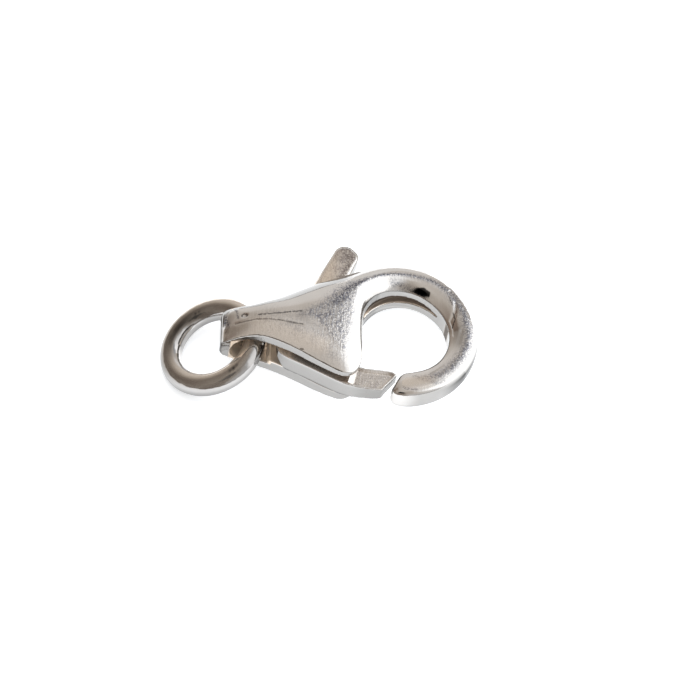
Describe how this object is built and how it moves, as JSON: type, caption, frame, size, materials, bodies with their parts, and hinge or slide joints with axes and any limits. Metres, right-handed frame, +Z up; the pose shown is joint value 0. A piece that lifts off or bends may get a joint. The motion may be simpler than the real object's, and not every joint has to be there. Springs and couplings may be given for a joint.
{
  "type": "lobster clasp",
  "caption": "Silver trigger lobster clasp with a sprung gate lever, thumb tab and a closed jump ring in its tail",
  "frame": {"origin": "On the ground, under the middle of the part's box", "axes": "+X from the jump ring's end towards the hook, +Y from the gate side towards the spine and the thumb tab, +Z up across the cheeks of the lying clasp"},
  "size_m": [0.0196, 0.011, 0.0045],
  "materials": {
    "cast_silver": "polished cast silver with faint polishing marks",
    "lever_silver": "polished silver, with a satin thumb tab",
    "pin_silver": "polished silver pin",
    "ring_silver": "polished drawn silver wire"
  },
  "bodies": {
    "clasp_body": {"body": "cast_silver", "pivot_pin": "pin_silver"},
    "lever_body": {"lever": "lever_silver"},
    "ring_body": {"jump_ring": "ring_silver"}
  },
  "joints": [
    {"name": "lever_pivot", "type": "hinge", "parent": "clasp_body", "child": "lever_body", "pos_m": [-0.00108, -0.00103, 0.00232], "axis": [0.1219, 0, 0.9925], "range_deg": [0, 26], "stiffness_Nm_per_rad": 0.006, "springref_deg": -28.65},
    {"name": "ring_swing", "type": "hinge", "parent": "clasp_body", "child": "ring_body", "pos_m": [-0.00412, -0.0014, 0.00259], "axis": [-0.0444, 0.9989, -0.0168], "range_deg": [0, 90]}
  ]
}
